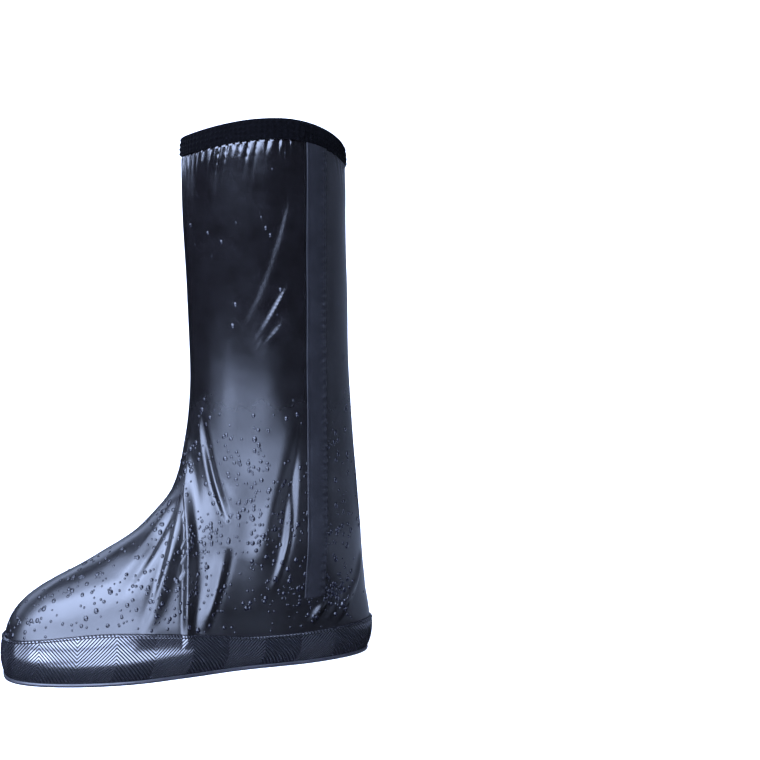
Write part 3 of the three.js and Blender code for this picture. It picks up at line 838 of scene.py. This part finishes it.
def make_outsole():
    """The outsole: the foot's outline shrunk towards its middle line on the flat underside, then a rounded
    welt at the edge, then back over the top."""
    turn = rim_turns
    edge = base_point(turn, np.zeros(turns_round)) + shift
    outward_way = base_normal(turn, np.zeros(turns_round))
    spine = edge.copy()
    spine[:, 0] = mix(edge[:, 0].mean(), edge[:, 0], 0.55)
    spine[:, 1] = toe_inward * (1 - (edge[:, 0] - shift[0]) / sole_length) ** 2 + shift[1]
    width = sole_edge - welt_rounding
    rings = []
    for share in np.linspace(0.02, 0.94, 24):
        ring = mix(spine, edge + outward_way * width, share)
        ring[:, 2] = 0
        rings.append(ring)
    arc = np.linspace(-math.pi / 2, math.pi / 2, 13)
    middle, half = outsole_thickness / 2, outsole_thickness / 2
    for angle in arc:
        ring = edge + outward_way * (width + welt_rounding * math.cos(angle))
        ring[:, 2] = middle + half * math.sin(angle)
        rings.append(ring)
    for share in (0.9, 0.6, 0.3, 0.02):
        ring = mix(spine, edge + outward_way * width, share)
        ring[:, 2] = outsole_thickness
        rings.append(ring)
    points = np.stack(rings)
    faces = grid_faces(len(points), turns_round, True, True)
    piece = outward(make_piece("sole_plate", points, faces))
    hand_over(piece, "outsole", sole_sheet)


def drop_shape(rings, sides):
    """Half an oblate dome, as rings of points and four-sided faces, with its base a little sunk."""
    height = np.linspace(-0.15, 0.999, rings)[:, None]
    radius = np.sqrt(1 - np.clip(height, 0, 1) ** 2) * np.where(height < 0, 0.93, 1)
    angle = np.linspace(0, 2 * math.pi, sides, endpoint=False)[None, :]
    points = np.stack([radius * np.cos(angle), radius * np.sin(angle), bead_height * height + 0 * angle], -1)
    return points.reshape(-1, 3), grid_faces(rings, sides, False, True)


def make_drops(outer, turn, up):
    """Water beads: domes set on seeded places of the sheet, dense on the foot and ankle, densest at the
    flap's foot, few on the leg and on what faces away from the outer side."""
    up_step = np.gradient(outer, axis=0)
    normal = np.cross(np.roll(outer, -1, axis=1) - np.roll(outer, 1, axis=1), up_step)
    normal /= np.linalg.norm(normal, axis=-1, keepdims=True)
    centre = outer.mean(axis=1, keepdims=True)
    normal *= np.sign(((outer - centre) * normal).sum(-1))[..., None]
    patchy = 0.3 + smooth((waves(outer, 8, 0.06, 1.0) + 0.6) / 2)
    sided = np.where(turn < math.pi, smooth((turn - 0.35) / 0.5), 0.3)
    density = 0.02 + smooth((0.52 - up) / 0.14) * patchy * sided
    facing = 0.15 + smooth((0.1 - normal[..., 1]) / 0.5)
    along = (outer[..., 0] - shift[0]) / sole_length
    off_patch = ((along - wettest_along) / 0.05) ** 2 + ((up - wettest_up) / 0.035) ** 2
    facing = facing * (1 + 4 * np.exp(-off_patch))
    density = density * facing * (up < cuff_up - 0.01) * (up > band_top_up(turn) + 0.004)
    area = np.linalg.norm(np.cross(np.roll(outer, -1, axis=1) - outer, up_step), axis=-1)
    weight = (density * area).ravel()
    place = random.choice(weight.size, bead_count, replace=False, p=weight / weight.sum())
    centre, normal = outer.reshape(-1, 3)[place], normal.reshape(-1, 3)[place]
    size = bead_least + bead_spread * random.random(bead_count) ** 2.4
    dome, faces = drop_shape(5, 9)
    helper = np.where(np.abs(normal[:, 2:3]) < 0.9, [[0.0, 0.0, 1.0]], [[1.0, 0.0, 0.0]])
    side = np.cross(helper, normal)
    side /= np.linalg.norm(side, axis=1, keepdims=True)
    other = np.cross(normal, side)
    sag = random.uniform(1.0, 1.35, bead_count)[:, None, None]
    local = dome[None] * size[:, None, None]
    points = (
        centre[:, None]
        + local[..., 0:1] * side[:, None]
        + local[..., 1:2] * sag * other[:, None]
        + local[..., 2:3] * normal[:, None]
    )
    all_faces = (faces[None] + np.arange(bead_count)[:, None, None] * len(dome)).reshape(-1, 4)
    piece = make_piece("water_beads", points, all_faces)
    hand_over(piece, None, water)


upper_face, upper_turn, upper_height = make_upper()
make_cuff()
make_flap()
make_band()
make_outsole()
make_drops(upper_face, upper_turn, upper_height)


# Studio


def make_floor():
    """A pale round floor that curves up into a wall, as a profile turned about the origin."""
    radius, height, curve = 3.2, 2.6, 0.9
    bend = np.linspace(0, math.pi / 2, 12)[1:]
    flat = radius - curve
    reach = np.concatenate([[0.0, 0.4, 1.0, flat], flat + curve * np.sin(bend), [radius]])
    rise = np.concatenate([[0.0, 0.0, 0.0, 0.0], curve * (1 - np.cos(bend)), [height]])
    angle = np.linspace(0, 2 * math.pi, 96, endpoint=False)
    points = np.stack(
        [reach[:, None] * np.cos(angle), reach[:, None] * np.sin(angle), rise[:, None] + 0 * angle], -1
    )
    floor = make_piece("studio_floor", points, grid_faces(len(reach), 96, False, True))
    material, shader, _ = new_material("pale_floor", (0.86, 0.86, 0.87), 0.9)
    shader.inputs["Emission Color"].default_value = (1, 1, 1, 1)
    shader.inputs["Emission Strength"].default_value = 0.38
    floor.data.materials.append(material)
    floor.visible_glossy = False


def make_light(name, power, size, place, aim, colour):
    """A rectangular soft light at a place, which faces the aim point. The camera doesn't see it."""
    data = bpy.data.lights.new(name, "AREA")
    data.shape = "RECTANGLE"
    data.size, data.size_y = size
    data.energy = power
    data.color = colour
    light = bpy.data.objects.new(name, data)
    light.location = place
    light.rotation_mode = "QUATERNION"
    light.rotation_quaternion = (Vector(place) - Vector(aim)).to_track_quat("Z", "Y")
    light.visible_camera = False
    bpy.context.scene.collection.objects.link(light)


make_floor()
cool = (0.55, 0.67, 1.0)
# Low bright cards round the tabletop, which the upright sheet mirrors below mid height
make_light("front_card", 3.1, (0.64, 0.11), (-0.305, -0.425, 0.06), (-0.05, 0.0, 0.06), cool)
make_light("toe_card", 1.4, (0.5, 0.12), (-0.6, -0.24, 0.061), (-0.05, 0.0, 0.061), cool)
make_light("table_card", 4.6, (0.24, 0.44), (-0.095, -0.34, 0.002), (-0.095, -0.34, 1.0), cool)
make_light("key_softbox", 640, (5.0, 2.2), (-1.74, -1.93, 1.75), (0.0, 0.0, 0.1), cool)
make_light("top_softbox", 120, (2.4, 2.4), (-0.6, -0.2, 2.0), (-0.1, 0.0, 0.1), cool)
make_light("back_softbox", 9, (2.2, 0.4), (-1.0, 1.5, 0.75), (-0.1, 0.0, 0.2), cool)
make_light("rear_softbox", 3.4, (2.6, 1.0), (1.3, 0.35, 0.45), (0.1, 0.0, 0.25), cool)
make_light("low_rear", 2.2, (0.8, 0.9), (0.62, 0.0, 0.002), (0.62, 0.0, 1.0), cool)

world = bpy.data.worlds.new("studio")
world.use_nodes = True
background = world.node_tree.nodes["Background"]
background.inputs["Color"].default_value = (0.5, 0.55, 0.7, 1)
background.inputs["Strength"].default_value = 0.02
bpy.context.scene.world = world
bpy.context.scene.view_settings.view_transform = "Standard"

# The camera stands on the outer side, a little towards the toe, and aims beside the cover, as in the
# photograph, where the cover stands at the left of the frame.
camera_turn = math.radians(10)
camera_distance = 1.0873
camera_height = 0.3273
aim_aside = 0.1542
aim_height = 0.2291
frame_pixels = 760
focal_pixels = 1340.9


def make_camera():
    data = bpy.data.cameras.new("camera")
    data.sensor_width = 36
    data.lens = data.sensor_width * focal_pixels / frame_pixels
    data.clip_end = 20
    camera = bpy.data.objects.new("camera", data)
    forward = np.array([math.sin(camera_turn), math.cos(camera_turn), 0])
    right = np.array([math.cos(camera_turn), -math.sin(camera_turn), 0])
    place = -forward * camera_distance + np.array([0, 0, camera_height])
    aim = right * aim_aside + np.array([0, 0, aim_height])
    camera.location = place
    camera.rotation_mode = "QUATERNION"
    camera.rotation_quaternion = Vector(aim - place).to_track_quat("-Z", "Y")
    bpy.context.scene.collection.objects.link(camera)
    bpy.context.scene.camera = camera


make_camera()
